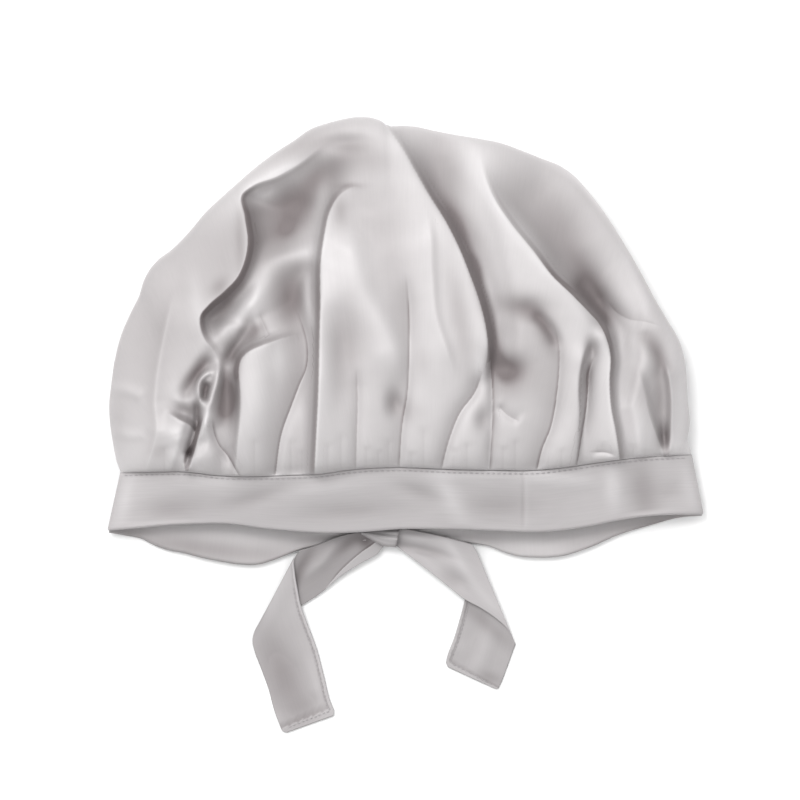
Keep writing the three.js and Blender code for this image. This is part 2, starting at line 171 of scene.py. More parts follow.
def satin(name, colour, width, length, roughness=0.6, grain_across=False):
    """Satin for a sheet of this width and length, its warp along v: float threads, slub and an uneven lustre,
    darkened by the sheet's painted shade and by a painted shadow along its folds' edges"""
    fabric = bpy.data.materials.new(name)
    fabric.use_nodes = True
    nodes, links = fabric.node_tree.nodes, fabric.node_tree.links
    shader = nodes["Principled BSDF"]
    shader.inputs["Sheen Weight"].default_value = 0.06
    shader.inputs["Sheen Roughness"].default_value = 0.4
    shader.inputs["Specular IOR Level"].default_value = 0.35
    shader.inputs["Metallic"].default_value = 0.28
    weave = nodes.new("ShaderNodeUVMap")
    weave.uv_map = "weave"
    metres = nodes.new("ShaderNodeMapping")
    metres.inputs["Scale"].default_value = (width, length, 1)
    links.new(weave.outputs[0], metres.inputs["Vector"])
    place = nodes.new("ShaderNodeTexCoord").outputs["Object"]

    def noise(vector, scale, detail=3.0):
        node = nodes.new("ShaderNodeTexNoise")
        node.inputs["Scale"].default_value = scale
        node.inputs["Detail"].default_value = detail
        links.new(vector, node.inputs["Vector"])
        return node.outputs["Fac"]

    def threads(across, along):
        """Fine noise with so many grains to a metre across the sheet and along it"""
        node = nodes.new("ShaderNodeMapping")
        node.inputs["Scale"].default_value = (across, along, 1)
        links.new(metres.outputs[0], node.inputs["Vector"])
        return noise(node.outputs[0], scale=1.0, detail=2.0)

    def ramp(value, low, high, start=0.3, end=0.7):
        node = nodes.new("ShaderNodeMapRange")
        links.new(value, node.inputs["Value"])
        for key, number in (("From Min", start), ("From Max", end), ("To Min", low), ("To Max", high)):
            node.inputs[key].default_value = number
        return node.outputs[0]

    def combine(one, two, operation):
        node = nodes.new("ShaderNodeMath")
        node.operation = operation
        links.new(one, node.inputs[0])
        links.new(two, node.inputs[1])
        return node.outputs[0]

    def drawn(key):
        """What the sheet's own attribute says"""
        node = nodes.new("ShaderNodeAttribute")
        node.attribute_name = key
        return node.outputs["Fac"]

    def blend(factor, blend_type="MIX"):
        node = nodes.new("ShaderNodeMix")
        node.data_type = "RGBA"
        node.blend_type = blend_type
        links.new(factor, node.inputs["Factor"])
        return node

    def bump(height, strength, distance):
        node = nodes.new("ShaderNodeBump")
        node.inputs["Strength"].default_value = strength
        node.inputs["Distance"].default_value = distance
        links.new(height, node.inputs["Height"])
        return node

    slub = threads(across=45, along=1500) if grain_across else threads(across=1500, along=45)
    patches = ramp(noise(place, scale=14), low=0.0, high=0.6)
    tone = blend(combine(patches, ramp(slub, low=0.0, high=0.6 if grain_across else 0.3), "ADD"))
    duller = 0.9
    tone.inputs["A"].default_value = (*[c * duller for c in colour], 1)
    tone.inputs["B"].default_value = (*colour, 1)
    # The sheet's painted shade and a painted shadow along the shaded side of a fold's edge draw the colour
    # towards dark grey.
    beyond = ramp(drawn("edge"), low=0, high=1, start=-0.8, end=0.5)
    nearby = ramp(drawn("edge"), low=1, high=0, start=0.5, end=6)
    core = combine(combine(beyond, nearby, "MULTIPLY"), drawn("edge_shadow"), "MULTIPLY")
    deep = blend(combine(core, drawn("shade"), "ADD"), "MULTIPLY")
    deep.inputs["B"].default_value = (0.32, 0.29, 0.29, 1)
    links.new(tone.outputs["Result"], deep.inputs["A"])
    links.new(deep.outputs["Result"], shader.inputs["Base Color"])
    gloss = ramp(noise(place, scale=60), low=roughness - 0.04, high=roughness + 0.05)
    links.new(gloss, shader.inputs["Roughness"])
    warp = threads(across=4200, along=260)
    weft = threads(across=300, along=3400)
    fine = bump(combine(warp, weft, "ADD"), strength=0.12, distance=0.0001)
    ripple = bump(noise(place, scale=45, detail=2.0), strength=0.25, distance=0.002)
    links.new(fine.outputs[0], ripple.inputs["Normal"])
    links.new(ripple.outputs[0], shader.inputs["Normal"])
    return fabric


JOIN = 0.006  # height of the side joins
WALLS = 0.0008  # from the middle of a folded band to the cloth on either side
MOUTH_ARCH = 0.017  # height of the headband's lower edge in the middle
SEAM_ARCH = 0.025  # height of its seam with the crown there
RIM_HEIGHT = 0.013  # height of the crown's far edge there
LOFT = 0.018  # how far the upper panel stands over the line from seam to far edge

headband_seam = through([
    (121, 473), (150, 472), (190, 472), (215, 475), (290, 475), (325, 473), (345, 470), (365, 468),
    (395, 467), (450, 469), (500, 470), (535, 470), (565, 467), (600, 462), (645, 457), (691, 455),
])
crown_edge = through([
    (116, 462), (113, 445), (110, 425), (109, 405), (111, 385), (115, 358), (121, 335), (132, 310),
    (139, 296), (144, 280), (150, 269), (159, 259), (170, 251), (190, 231), (205, 213), (222, 197),
    (240, 181), (255, 168), (275, 153), (295, 140), (311, 129), (325, 124), (340, 120), (358, 117),
    (372, 118), (381, 121), (388, 126), (400, 126), (417, 127), (430, 130), (450, 134), (480, 139),
    (500, 143), (520, 150), (540, 158), (560, 166), (573, 175), (586, 189), (601, 208), (620, 237),
    (640, 271), (655, 299), (668, 321), (679, 340), (684, 356), (687, 380), (688, 400), (690, 425),
    (688, 440), (691, 450),
])
# Each fold: its kind, its sizes and its line on the drafting grid. Heights are in millimetres and reaches in
# squares, and a row of numbers in place of a size is spread along the line. A lap has a crest, a soft back on
# its left, a steep face on its right, and a trough with its own reach below the face. A crease is a valley of
# a depth, and a ridge a swell of a height, or a groove below 0, each with a reach to the left and the right.
# A hollow or a bulge has a depth or height, half its width, half its length, and one place for its middle.
# Besides its height, each fold paints shade into the satin's colour. Grooves, creases, hollows and the cloth
# below a lap's face are painted darker, with a painted shadow along the edge, and a ridge or a lap's back
# gets a painted highlight.
FOLDS = [
    ("lap", ((2.5, 4, 4, 4, 4), 60, 4, (1, 3.5, 4.5, 4.5, 3.5), (12, 15, 11, 8, 6)), [
        (386, 124), (392, 134), (401, 147), (417, 175), (430, 198), (445, 222), (459, 250), (470, 277),
        (479, 302), (485, 327), (487, 347), (484, 372), (475, 395),
    ]),
    ("crease", (3.0, 9, 6), [(484, 365), (474, 393), (460, 412), (449, 439), (441, 470)]),
    ("crease", (3.0, 6, 9), [(489, 345), (492, 402), (489, 470)]),
    ("hollow", (3.0, 28, 40), [(440, 168)]),
    ("lap", (4.5, 42, 4, (5, 6.5, 8, 9, 7, 3, 3), (34, 36, 30, 20, 9, 5, 5)), [
        (478, 146), (484, 175), (495, 202), (509, 223), (533, 253), (553, 279), (568, 293), (585, 310),
        (598, 324), (606, 342), (609, 357), (608, 380), (610, 410), (614, 430), (618, 456), (620, 470),
    ]),
    ("ridge", ((0, -2, -4, -4, 0), 10, 15), [(565, 274), (579, 289), (593, 305), (602, 322), (608, 339)]),
    ("hollow", (1.6, 24, 11), [(524, 310)]),
    ("ridge", ((-0.5, -1.6, -2, -1.6, -0.5), 6, 6), [(528, 311), (542, 322), (551, 334), (557, 352)]),
    ("crease", ((0, 1, 3, 4, 4, 4), 20, 7), [
        (545, 310), (554, 328), (558, 348), (558, 370), (556, 393), (550, 427), (541, 450), (536, 472),
    ]),
    ("hollow", (3.0, 16, 13), [(508, 370)]),
    ("lap", (2.0, 12, 3, 2.5, 8), [
        (592, 336), (584, 349), (579, 368), (577, 390), (578, 412), (577, 440), (575, 472),
    ]),
    ("crease", (3.5, 7, 5), [
        (597, 352), (592, 360), (588, 372), (587, 388), (585, 410), (581, 434), (576, 466),
    ]),
    ("hollow", (3.0, 6, 10), [(591, 349)]),
    ("lap", (1.0, 14, 4, (0, 1, 2, 2.5, 2.5), 9), [
        (634, 362), (640, 380), (644, 396), (648, 414), (656, 436), (662, 450), (667, 464),
    ]),
    ("lap", (1.6, 12, 3, (3, 3, 2.5, 2, 0), 7), [
        (668, 464), (670, 430), (671, 410), (670, 390), (667, 372), (659, 350),
    ]),
    ("hollow", (3.0, 6, 13), [(664, 438)]),
    ("ridge", (-1.6, 9, 9), [(638, 328), (652, 345), (662, 360), (668, 376)]),
    ("crease", (0.9, 6, 9), [(606, 300), (616, 312), (628, 319), (645, 322), (662, 327)]),
    ("hollow", (3.0, 30, 22), [(280, 202)]),
    ("hollow", (4.5, 28, 20), [(318, 172)]),
    ("hollow", (1.8, 24, 9), [(348, 144)]),
    ("lap", ((1, 1.5, 2.5, 3, 3, 3, 3), 26, 6, (5, 6, 7.5, 8, 8, 7, 3), (34, 36, 28, 24, 16, 9, 5)), [
        (332, 138), (302, 163), (277, 178), (253, 187), (243, 195), (246, 218), (249, 245), (246, 262),
        (239, 278), (225, 293), (210, 306), (202, 316), (202, 328), (207, 341), (214, 349), (220, 360),
        (222, 370),
    ]),
    ("ridge", (4.5, 15, 17), [
        (332, 248), (297, 256), (275, 264), (264, 280), (255, 298), (243, 311), (231, 323),
    ]),
    ("ridge", (1.8, 8, 9), [(264, 280), (255, 298), (243, 311), (231, 323), (220, 340), (214, 352)]),
    ("ridge", (-3.5, 6, 9), [(258, 318), (248, 330), (240, 343), (233, 354), (228, 368)]),
    ("lap", (4.0, 30, 3, 4.5, 14), [
        (315, 474), (317, 435), (319, 393), (320, 343), (321, 302), (321, 268), (325, 235), (331, 210),
        (342, 194), (358, 188), (366, 196),
    ]),
    ("hollow", (4.0, 17, 30), [(291, 306)]),
    ("crease", ((0, 2.5, 3.5, 3.5, 3.5, 3.5), (8, 14, 17, 17, 17, 17), (5, 6, 7, 7, 7, 7)), [
        (293, 300), (302, 322), (308, 345), (307, 368), (300, 385), (292, 406), (283, 431), (276, 474),
    ]),
    ("ridge", ((0, 1.6, 1.8, 1.6, 0), 5, 5), [(314, 264), (307, 282), (307, 302), (311, 322), (313, 344)]),
    ("ridge", (3.0, 26, 16), [(346, 212), (350, 255), (362, 295), (378, 322), (392, 352), (398, 388)]),
    ("hollow", (2.5, 14, 50), [(343, 355)]),
    ("crease", (1.8, 6, 5), [(357, 365), (358, 400), (357, 440), (356, 474)]),
    ("crease", (3.0, 16, 8), [(406, 270), (409, 310), (409, 360), (407, 397), (403, 420), (399, 474)]),
    ("hollow", (2.8, 8, 13), [(395, 403)]),
    ("lap", (1.0, 16, 6, 0.7, 8), [(424, 200), (430, 235), (432, 277), (436, 318), (447, 352), (457, 384)]),
    ("hollow", (2.0, 8, 12), [(483, 420)]),
    ("crease", (1.4, 4, 6), [(496, 404), (507, 415), (520, 422)]),
    ("crease", (1.3, 3, 5), [(596, 452), (604, 452), (611, 454), (618, 459)]),
    ("lap", (3.0, 45, 4, (1.5, 1.5, 2, 3.5, 3.5, 3.5), 9), [
        (236, 474), (239, 440), (241, 420), (242, 400), (241, 383), (240, 370), (243, 359), (250, 352),
        (263, 346), (285, 338), (303, 333),
    ]),
    ("bulge", (1.8, 26, 60), [(260, 395)]),
    ("hollow", (2.0, 9, 22), [(229, 401)]),
    ("ridge", (4.0, (4, 4, 5, 6, 8, 10, 12), (3, 3, 4, 5, 7, 9, 11)), [
        (219, 356), (220, 368), (218, 382), (213, 397), (209, 412), (207, 428), (207, 446),
    ]),
    ("lap", (3.0, 12, 3, 4.0, 4), [(188, 474), (193, 459), (198, 443), (202, 428), (206, 412)]),
    ("bulge", (1.5, 9, 14), [(212, 454)]),
    ("crease", (3.0, 5, 9), [(213, 416), (215, 432), (220, 445), (228, 455), (238, 472)]),
    ("ridge", (-3.5, 4.5, 4.5), [(209, 381), (207, 392), (205, 403)]),
    ("ridge", (3.5, 2.8, 2.8), [(219, 371), (208, 374), (201, 381), (200, 392), (203, 404), (206, 412)]),
    ("ridge", (-2.8, 7, 7), [(216, 355), (207, 364), (198, 377), (189, 390), (180, 401)]),
    ("ridge", (-4.0, 4, 4), [(198, 398), (199, 411), (199, 424), (195, 437), (190, 452)]),
    ("lap", (3.0, 14, 3, 2.5, 3.5), [
        (165, 411), (173, 415), (182, 420), (191, 425), (196, 433), (193, 443), (187, 452), (185, 462),
        (187, 472),
    ]),
    ("hollow", (2.0, 10, 9), [(189, 411)]),
    ("ridge", (0.7, 5, 6), [(112, 388), (128, 391), (146, 398)]),
    ("ridge", (0.6, 5, 6), [(116, 432), (134, 436), (148, 434)]),
    ("bulge", (2.0, 12, 10), [(176, 436)]),
    ("lap", (2.2, 10, 12, 0.1, 10), [
        (146, 470), (158, 428), (156, 402), (158, 377), (163, 347), (169, 318), (176, 288),
    ]),
    ("crease", (0.9, 4, 6), [(259, 313), (271, 339)]),
    ("hollow", (1.3, 55, 90), [(160, 330)]),
    ("hollow", (0.9, 50, 45), [(215, 250)]),
    ("hollow", (0.9, 55, 22), [(320, 142)]),
    ("hollow", (0.9, 22, 50), [(362, 330)]),
]
# Painted shade on the crown, or below 0 painted highlight, beyond what its folds paint: how much, half
# length, half width, lean in degrees and middle
PAINTED_SHADE_AND_LIGHT = [
    (0.34, 56, 26, 57, (560, 226)), (-0.45, 48, 8, 52, (521, 232)), (0.45, 36, 14, 56, (591, 282)),
    (0.3, 14, 5, 70, (604, 334)), (-0.1, 16, 10, 60, (622, 298)), (0.24, 30, 9, 55, (654, 350)),
    (0.4, 50, 8, 86, (660, 394)), (-0.15, 50, 7, 92, (682, 395)), (0.2, 14, 5, 80, (665, 440)),
    (0.35, 26, 13, 20, (525, 309)), (0.45, 26, 9, 60, (545, 333)), (0.45, 22, 16, 30, (509, 371)),
    (0.35, 20, 6, 82, (498, 357)), (0.2, 14, 12, 0, (506, 389)), (0.6, 56, 7, 73, (480, 292)),
    (0.6, 34, 11, 60, (457, 222)), (0.4, 14, 6, 72, (477, 268)), (0.2, 54, 30, 60, (530, 350)),
    (0.3, 34, 4, 92, (492, 355)), (0.35, 56, 11, 80, (459, 316)), (-0.25, 16, 8, 80, (481, 368)),
    (-0.25, 30, 14, 60, (474, 165)), (-0.12, 34, 12, 58, (406, 168)), (-0.15, 25, 12, 85, (638, 432)),
    (0.16, 30, 7, 92, (586, 375)), (0.3, 14, 4, 100, (588, 376)), (0.13, 150, 45, -61, (165, 310)),
    (0.14, 60, 20, -75, (231, 256)), (0.14, 70, 20, -25, (310, 140)), (0.28, 40, 14, 8, (358, 158)),
    (0.25, 12, 3, 0, (352, 187)), (0.22, 54, 26, 80, (384, 228)), (0.16, 60, 30, 75, (362, 325)),
    (0.12, 40, 30, 80, (346, 228)), (0.16, 50, 18, 85, (400, 300)), (-0.75, 46, 11, -30, (287, 177)),
    (-0.5, 13, 8, 0, (263, 192)), (0.5, 48, 19, -50, (291, 221)), (-0.4, 34, 8, 98, (321, 212)),
    (0.25, 14, 7, 90, (341, 212)), (0.25, 12, 9, -30, (288, 231)), (0.2, 40, 5, 88, (241, 242)),
    (0.35, 30, 19, 85, (291, 287)), (0.25, 12, 9, 0, (304, 266)), (-0.25, 32, 5, 86, (308, 302)),
    (0.16, 30, 8, -20, (284, 254)), (0.4, 30, 8, -50, (228, 306)), (-0.15, 36, 7, 82, (199, 310)),
    (0.45, 14, 7, -60, (257, 333)), (0.9, 22, 10, 95, (229, 400)), (0.3, 36, 4, 108, (211, 396)),
    (0.3, 14, 3, 90, (201, 392)), (0.35, 18, 4, 90, (226, 376)), (0.3, 20, 6, -50, (195, 372)),
    (-0.2, 14, 8, 15, (180, 434)), (0.3, 12, 8, -50, (221, 288)), (0.18, 28, 10, 60, (232, 350)),
    (-0.2, 22, 8, 90, (280, 358)), (0.22, 24, 8, 85, (640, 392)), (-0.25, 8, 8, 0, (180, 390)),
    (0.2, 10, 8, 0, (160, 452)), (-0.3, 12, 8, 0, (683, 450)), (0.2, 14, 12, 0, (408, 412)),
    (0.16, 20, 10, 85, (420, 360)), (0.3, 10, 6, 90, (221, 412)), (0.3, 8, 5, 90, (238, 372)),
    (0.35, 10, 4, 100, (206, 390)), (-0.1, 40, 14, 85, (262, 400)), (0.2, 20, 5, -55, (199, 373)),
    (0.2, 14, 4, 105, (190, 452)), (-0.2, 12, 8, 60, (178, 452)), (0.18, 30, 10, 90, (119, 425)),
]
# The small gathers let into the headband between the folds: where each is on the seam, and how far up it runs
GATHERS = [
    (166, 26), (222, 20), (256, 34), (292, 34), (303, 22), (329, 30), (342, 40), (367, 26), (379, 22),
    (389, 34), (412, 20), (424, 46), (454, 24), (467, 30), (503, 26), (515, 34), (548, 30), (561, 24),
    (592, 20), (602, 30), (633, 28), (645, 22), (680, 24),
]
GATHER_SIZES = (0.35, 5, 5)
SEAM_ROW = 470  # the row of the grid that the headband's seam lies on
LET_IN = 4  # squares that a gather runs on under the headband
OPEN_SHADE = 0.17  # painted shade on the cloth where it lies open
DEEP, HIGH = 8, 14  # millimetres down that add a whole step of painted shade, and up that take one away
EDGE_FADES, EDGE_ENDS = 6, 9  # squares from an edge between which its painted shadow goes


def falling(away, reach):
    """From 1 on a fold's line to 0 at five times its reach"""
    return np.exp(-away / reach) * (1 - smooth(3 * reach, 5 * reach, away))


def swells(x, y, rows):
    """The sum of soft swells at places on the drafting grid. Each row is one: how high, or deep below 0, half
    length, half width, lean in degrees and middle"""
    total = np.zeros(len(x))
    for height, long, wide, lean, (middle_x, middle_y) in rows:
        lean = np.radians(lean)
        along = (x - middle_x) * np.cos(lean) + (y - middle_y) * np.sin(lean)
        across = (y - middle_y) * np.cos(lean) - (x - middle_x) * np.sin(lean)
        total += height * np.exp(-((along / long) ** 2) - (across / wide) ** 2)
    return total


def beside(run, x, y):
    """How far places lie from a fold's line, how far to its right, and at what share of its length"""
    place = np.stack([x, y], 1)
    best = np.full(len(x), 1e9)
    weights, offset, share = np.zeros((3, len(x)))
    for k in range(len(run) - 1):
        step = run[k + 1] - run[k]
        away = place - run[k]
        t = np.clip(away @ step / (step @ step), 0, 1)
        gap = ((away - t[:, None] * step) ** 2).sum(1)
        best = np.minimum(best, gap)
        weight = (gap + 0.5) ** -2.5
        weights += weight
        offset += weight * (step[1] * away[:, 0] - step[0] * away[:, 1]) / np.linalg.norm(step)
        share += weight * (k + t) / (len(run) - 1)
    return np.sqrt(best), offset / weights, share / weights


def fading(line, share, outline):
    """From 0 at an end of a fold that lies free on the crown to 1 along the rest of it"""
    lowest_free, rim_reach, faded_share = 452, 6, 0.22
    fade = 1.0
    for end, distance in ((line[0], share), (line[-1], 1 - share)):
        if end[1] < lowest_free and np.linalg.norm(outline - end, axis=1).min() > rim_reach:
            fade = fade * smooth(0, faded_share, distance)
    return fade


# Each of these three takes how far places lie from a fold's line, how far to its right, which side they are
# on from 0 to 1, and the fold's sizes. It gives their height, how much painted shade they take (below 0,
# painted highlight), how dark the painted shadow along the fold's edge is, and how far they lie to its shaded
# side.
def ridge(best, offset, right, height, wide, far):
    shape = height * np.exp(-((best / (wide + (far - wide) * right)) ** 2))
    return shape, -shape / np.where(height > 0, HIGH, DEEP), 0, offset


def crease(best, offset, right, depth, wide, far):
    side_shade, edge_shade = 0.06, 0.14  # to a millimetre of depth
    round_bottom = np.sqrt(best**2 + 0.8) - 0.9
    shape = -depth * falling(round_bottom, wide + (far - wide) * right)
    gentle = np.where(far > wide, right, 1 - right)
    dark = depth * side_shade * gentle * falling(best, 0.8 * np.maximum(wide, far))
    return shape, dark, edge_shade * depth, np.where(far > wide, 2, -2) * offset


def lap(best, offset, right, crest, back, face, trough, far):
    face_shade, back_light, edge_shade = 0.05, 0.035, 0.06  # to a millimetre of height
    round_top = np.sqrt(best**2 + 6) - 6**0.5
    descent = trough * (round_top / far) * np.exp(1 - round_top / far)
    descent = descent * (1 - smooth(3 * far, 5 * far, best))
    sides = falling(round_top, back) * (1 - right) + falling(round_top, face) * right
    shaded = right * smooth(-1, 4, offset)
    dark = shaded * (crest + trough) * face_shade * falling(best, 0.9 * far)
    dark = dark - (1 - right) * crest * back_light * falling(best, 0.4 * back)
    core = edge_shade * (crest + trough) * np.minimum(1, 3 * trough / far)
    return crest * sides - right * descent, dark, core, offset


KINDS = {"ridge": ridge, "crease": crease, "lap": lap}


def folds_at(x, y):
    """At places on the drafting grid: the height in millimetres that the folds add, how much painted shade
    they take from 0 to 1, how many squares they lie to the shaded side of the nearest edge, and how dark the
    painted shadow along that edge is"""
    total, edge, edge_shadow, strongest = np.zeros((4, len(x)))
    shade = swells(x, y, PAINTED_SHADE_AND_LIGHT)
    outline = crown_edge(np.linspace(0, 1, 200))
    gathers = [("crease", GATHER_SIZES, [(s, SEAM_ROW - up), (s, SEAM_ROW + LET_IN)]) for s, up in GATHERS]
    for kind, sizes, line in FOLDS + gathers:
        if kind in ("hollow", "bulge"):
            height, wide, long = sizes
            middle_x, middle_y = line[0]
            spread = np.exp(-(((x - middle_x) / wide) ** 2) - ((y - middle_y) / long) ** 2)
            height = (height if kind == "bulge" else -height) * spread
            total += height
            shade -= np.minimum(height, 0) / DEEP
            continue
        run = through(line)(np.linspace(0, 1, 6 * len(line)))
        reach = 5 * max(np.max(size) for size in sizes[1:])
        low, high = run.min(axis=0) - reach, run.max(axis=0) + reach
        near = np.flatnonzero((x > low[0]) & (x < high[0]) & (y > low[1]) & (y < high[1]))
        best, offset, share = beside(run, x[near], y[near])
        sizes = [np.interp(share, np.linspace(0, 1, np.size(size)), np.atleast_1d(size)) for size in sizes]
        right = smooth(-0.5, 0.5, offset / (best + 0.3))
        shape, dark, core, offset = KINDS[kind](best, offset, right, *sizes)
        fade = fading(line, share, outline)
        total[near] += fade * shape
        shade[near] += fade * dark
        core = core * fade * (1 - smooth(EDGE_FADES, EDGE_ENDS, best))
        strength = core * np.exp(-best / EDGE_FADES)
        won = strength > strongest[near]
        taken = near[won]
        strongest[taken], edge[taken], edge_shadow[taken] = strength[won], offset[won], core[won]
    return total, np.clip(OPEN_SHADE + shade, 0, 1), edge, edge_shadow


def headband_place(share, w):
    """Places on the middle of the headband, w from its lower edge at 0 to its seam at 1"""
    foot, seam = headband_foot(share), headband_seam(share)
    x, y = plan(*(foot + (seam - foot) * w[:, None]).T)
    side = JOIN + WALLS
    arch = MOUTH_ARCH + (SEAM_ARCH - MOUTH_ARCH) * w
    return x, y, side + (arch - side) * np.sqrt(np.clip(1 - (2 * share - 1) ** 2, 0, 1))


headband_foot = through([
    (108, 531), (140, 528), (160, 526), (195, 524), (230, 524), (260, 528), (290, 531), (320, 533),
    (360, 532), (400, 529), (440, 529), (500, 531), (540, 532), (590, 526), (615, 521), (640, 517),
    (670, 515), (703, 515),
])


def far_edge(share):
    """Places along the crown's far edge, from one side join round to the other"""
    x, y = plan(*crown_edge(share).T)
    lift = np.sqrt(np.clip(np.sin(share * np.pi), 0, 1))
    return np.stack([x, y, JOIN + (RIM_HEIGHT - JOIN) * lift], 1)


def soften(values, u):
    """Evens out values over each place's neighbours along and across a sheet"""
    columns = np.argmax(u)
    grid = np.pad(values.reshape(-1, columns + 1), 1, mode="edge")
    grid = (grid[:-2] + 2 * grid[1:-1] + grid[2:]) / 4
    return ((grid[:, :-2] + 2 * grid[:, 1:-1] + grid[:, 2:]) / 4).ravel()


def upper_panel(u, v):
    """The upper panel: u from side to side, v from inside the headband over the top to the far edge"""
    tuck = 0.04  # the share of its length let into the headband
    slot_end = 0.8  # how far up the headband its edge lies, as a share
    even = 0.1  # the share of its way across that it goes evenly, and not in an arc
    fold_height = 0.0014  # metres to a drawn millimetre, which softening then lowers
    seam = np.stack(headband_place(u, np.ones_like(u)), 1)
    inside = np.stack(headband_place(u, np.full_like(u, slot_end)), 1)
    over = np.clip((v - tuck) / (1 - tuck), 0, 1)
    turn = np.pi * over
    crossed = (1 - even) * (1 - np.cos(turn)) / 2 + even * over
    at = seam + (far_edge(u) - seam) * crossed[:, None]
    rise = LOFT * np.clip(np.sin(u * np.pi), 0, 1) ** 0.4
    height = np.sin(turn) ** 0.5
    deep = np.minimum(rise / LOFT * 1.6, 1) * smooth(0, 0.55, height)
    folds, shade, edge_side, edge_shadow = folds_at(*squares(at))
    folds = soften(folds, u)
    at[:, 2] += rise * height + fold_height * folds * deep
    slot = v < tuck
    at[slot] = (inside + (seam - inside) * (v / tuck)[:, None])[slot]
    return *at.T, shade * deep, edge_side, edge_shadow * deep


crown_satin = satin("satin_crown", (0.64, 0.62, 0.624), width=0.42, length=0.26, roughness=0.66)
front = cloth("crown_upper", columns=400, rows=245, place=upper_panel, material=crown_satin)
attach(front, "bonnet")
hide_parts("crown_front_panel")


# Crown, lower panel
# The same satin on the table side, flat where it lies and turned up all round into the seam with the upper
# panel.
nape_seam = through([
    (121, 474), (150, 485), (200, 500), (240, 505), (290, 504), (330, 508), (350, 514), (368, 524),
    (383, 526), (398, 524), (415, 515), (440, 509), (520, 504), (580, 494), (630, 478), (665, 466),
    (691, 460),
])


def turned_up(share):
    """How far the nape side has turned up from the table towards the side join at shares from side to side"""
    return np.exp(-(np.minimum(share, 1 - share) / 0.02) ** 1.5)


def lower_panel(u, v):
    """The lower panel: u from side to side, v from the nape seam to the far edge"""
    clear = 0.0006  # above the table
    seam_step = 0.0008  # how far it rises into the nape seam
    upturn = 0.016  # how far in from the far edge it starts to turn up
    flat = 0.7  # the share of v that lies flat
    x, y = plan(*nape_seam(u).T)
    low = clear + (JOIN - 2 * clear) * turned_up(u)
    seam = np.stack([x, y, low + seam_step], 1)
    edge = far_edge(u)
    length = np.linalg.norm((edge - seam)[:, :2], axis=1)
    reach = np.minimum(upturn, length / 2)
    turn = np.clip((v - flat) / (1 - flat), 0, 1) * np.pi / 2
    along = np.where(v < flat, v / flat * (length - reach), length - reach + reach * np.sin(turn))
    at = seam + (edge - seam) * (along / length)[:, None]
    at[:, 2] = low + (edge[:, 2] - low) * (1 - np.cos(turn)) + seam_step * (1 - smooth(0, 0.1, v))
    return at.T


back_satin = satin("satin_crown_back", (0.53, 0.512, 0.516), width=0.42, length=0.26)
back = cloth("crown_lower", columns=200, rows=110, place=lower_panel, material=back_satin)
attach(back, "bonnet")
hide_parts("crown_back_panel")


# Headband
# One straight strip of the satin, folded in half lengthwise over the crown's gathered edge, so that its fold
# is the front edge of the mouth. It is pieced once right of the middle, where a faint upright seam shows.
SATIN_THICKNESS = 0.0004
# Swells, or dents below 0, on the headband's outer wall, which also paint it lighter on a swell and darker in
# a dent: how high in millimetres, half length, half width, lean in degrees and middle
HEADBAND_SWELLS = [
    (0.9, 26, 11, 60, (452, 502)), (0.8, 34, 9, 5, (556, 479)), (-0.7, 40, 14, 0, (500, 507)),
    (-0.6, 22, 8, 20, (420, 492)), (-1.1, 34, 15, 80, (645, 495)), (0.8, 22, 9, 85, (614, 488)),
    (0.5, 30, 9, 78, (692, 486)), (-0.4, 14, 12, 0, (670, 492)), (0.5, 60, 8, 0, (470, 476)),
    (-0.8, 34, 13, -8, (172, 510)), (-0.7, 34, 9, -16, (256, 498)), (0.5, 26, 9, 0, (215, 484)),
    (-0.6, 50, 10, -4, (350, 512)), (0.5, 50, 9, -8, (330, 488)), (0.5, 30, 8, 100, (124, 500)),
    (-0.35, 1.5, 40, 0, (523, 500)), (0.2, 4, 40, 0, (527, 500)),
]


def folded(place, share, v):
    """A strip folded in half along its lower edge: v runs down its inner wall, round the fold and up again"""
    w = np.abs(2 * v - 1)
    step = 1e-4
    at = np.stack(place(share, w), 1)
    along = np.stack(place(share + step, w), 1) - np.stack(place(share - step, w), 1)
    across = np.stack(place(share, w + step), 1) - np.stack(place(share, w - step), 1)
    out = np.cross(along, across)
    out /= np.linalg.norm(out, axis=1)[:, None]
    bend = 0.05  # the share of a wall that the fold takes
    round_fold = np.sqrt(1 - (1 - np.clip(w / bend, 0, 1)) ** 2) * np.sign(v - 0.5)
    return at + out * (WALLS * round_fold)[:, None]


def headband_surface(u, v):
    """The headband's cloth, u from side to side just inside the side joins"""
    inset, plain_shade, swell_shade = 0.0005, 0.22, 0.32
    share = inset + (1 - 2 * inset) * u
    at = folded(headband_place, share, v)
    outer = smooth(0.5, 0.56, v)
    swell = swells(*squares(at), HEADBAND_SWELLS)
    at[:, 2] += 0.001 * swell * outer
    # Painted shade: an even amount over the strip, less on a swell and more in a dent of its outer wall
    return *at.T, np.clip(plain_shade - swell_shade * swell * outer, 0, 1)


band_satin = satin("satin_headband", (0.56, 0.54, 0.545), width=0.29, length=0.058, grain_across=True)
headband = cloth("headband_strip", 420, 90, headband_surface, SATIN_THICKNESS, band_satin)
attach(headband, "bonnet")
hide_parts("headband")


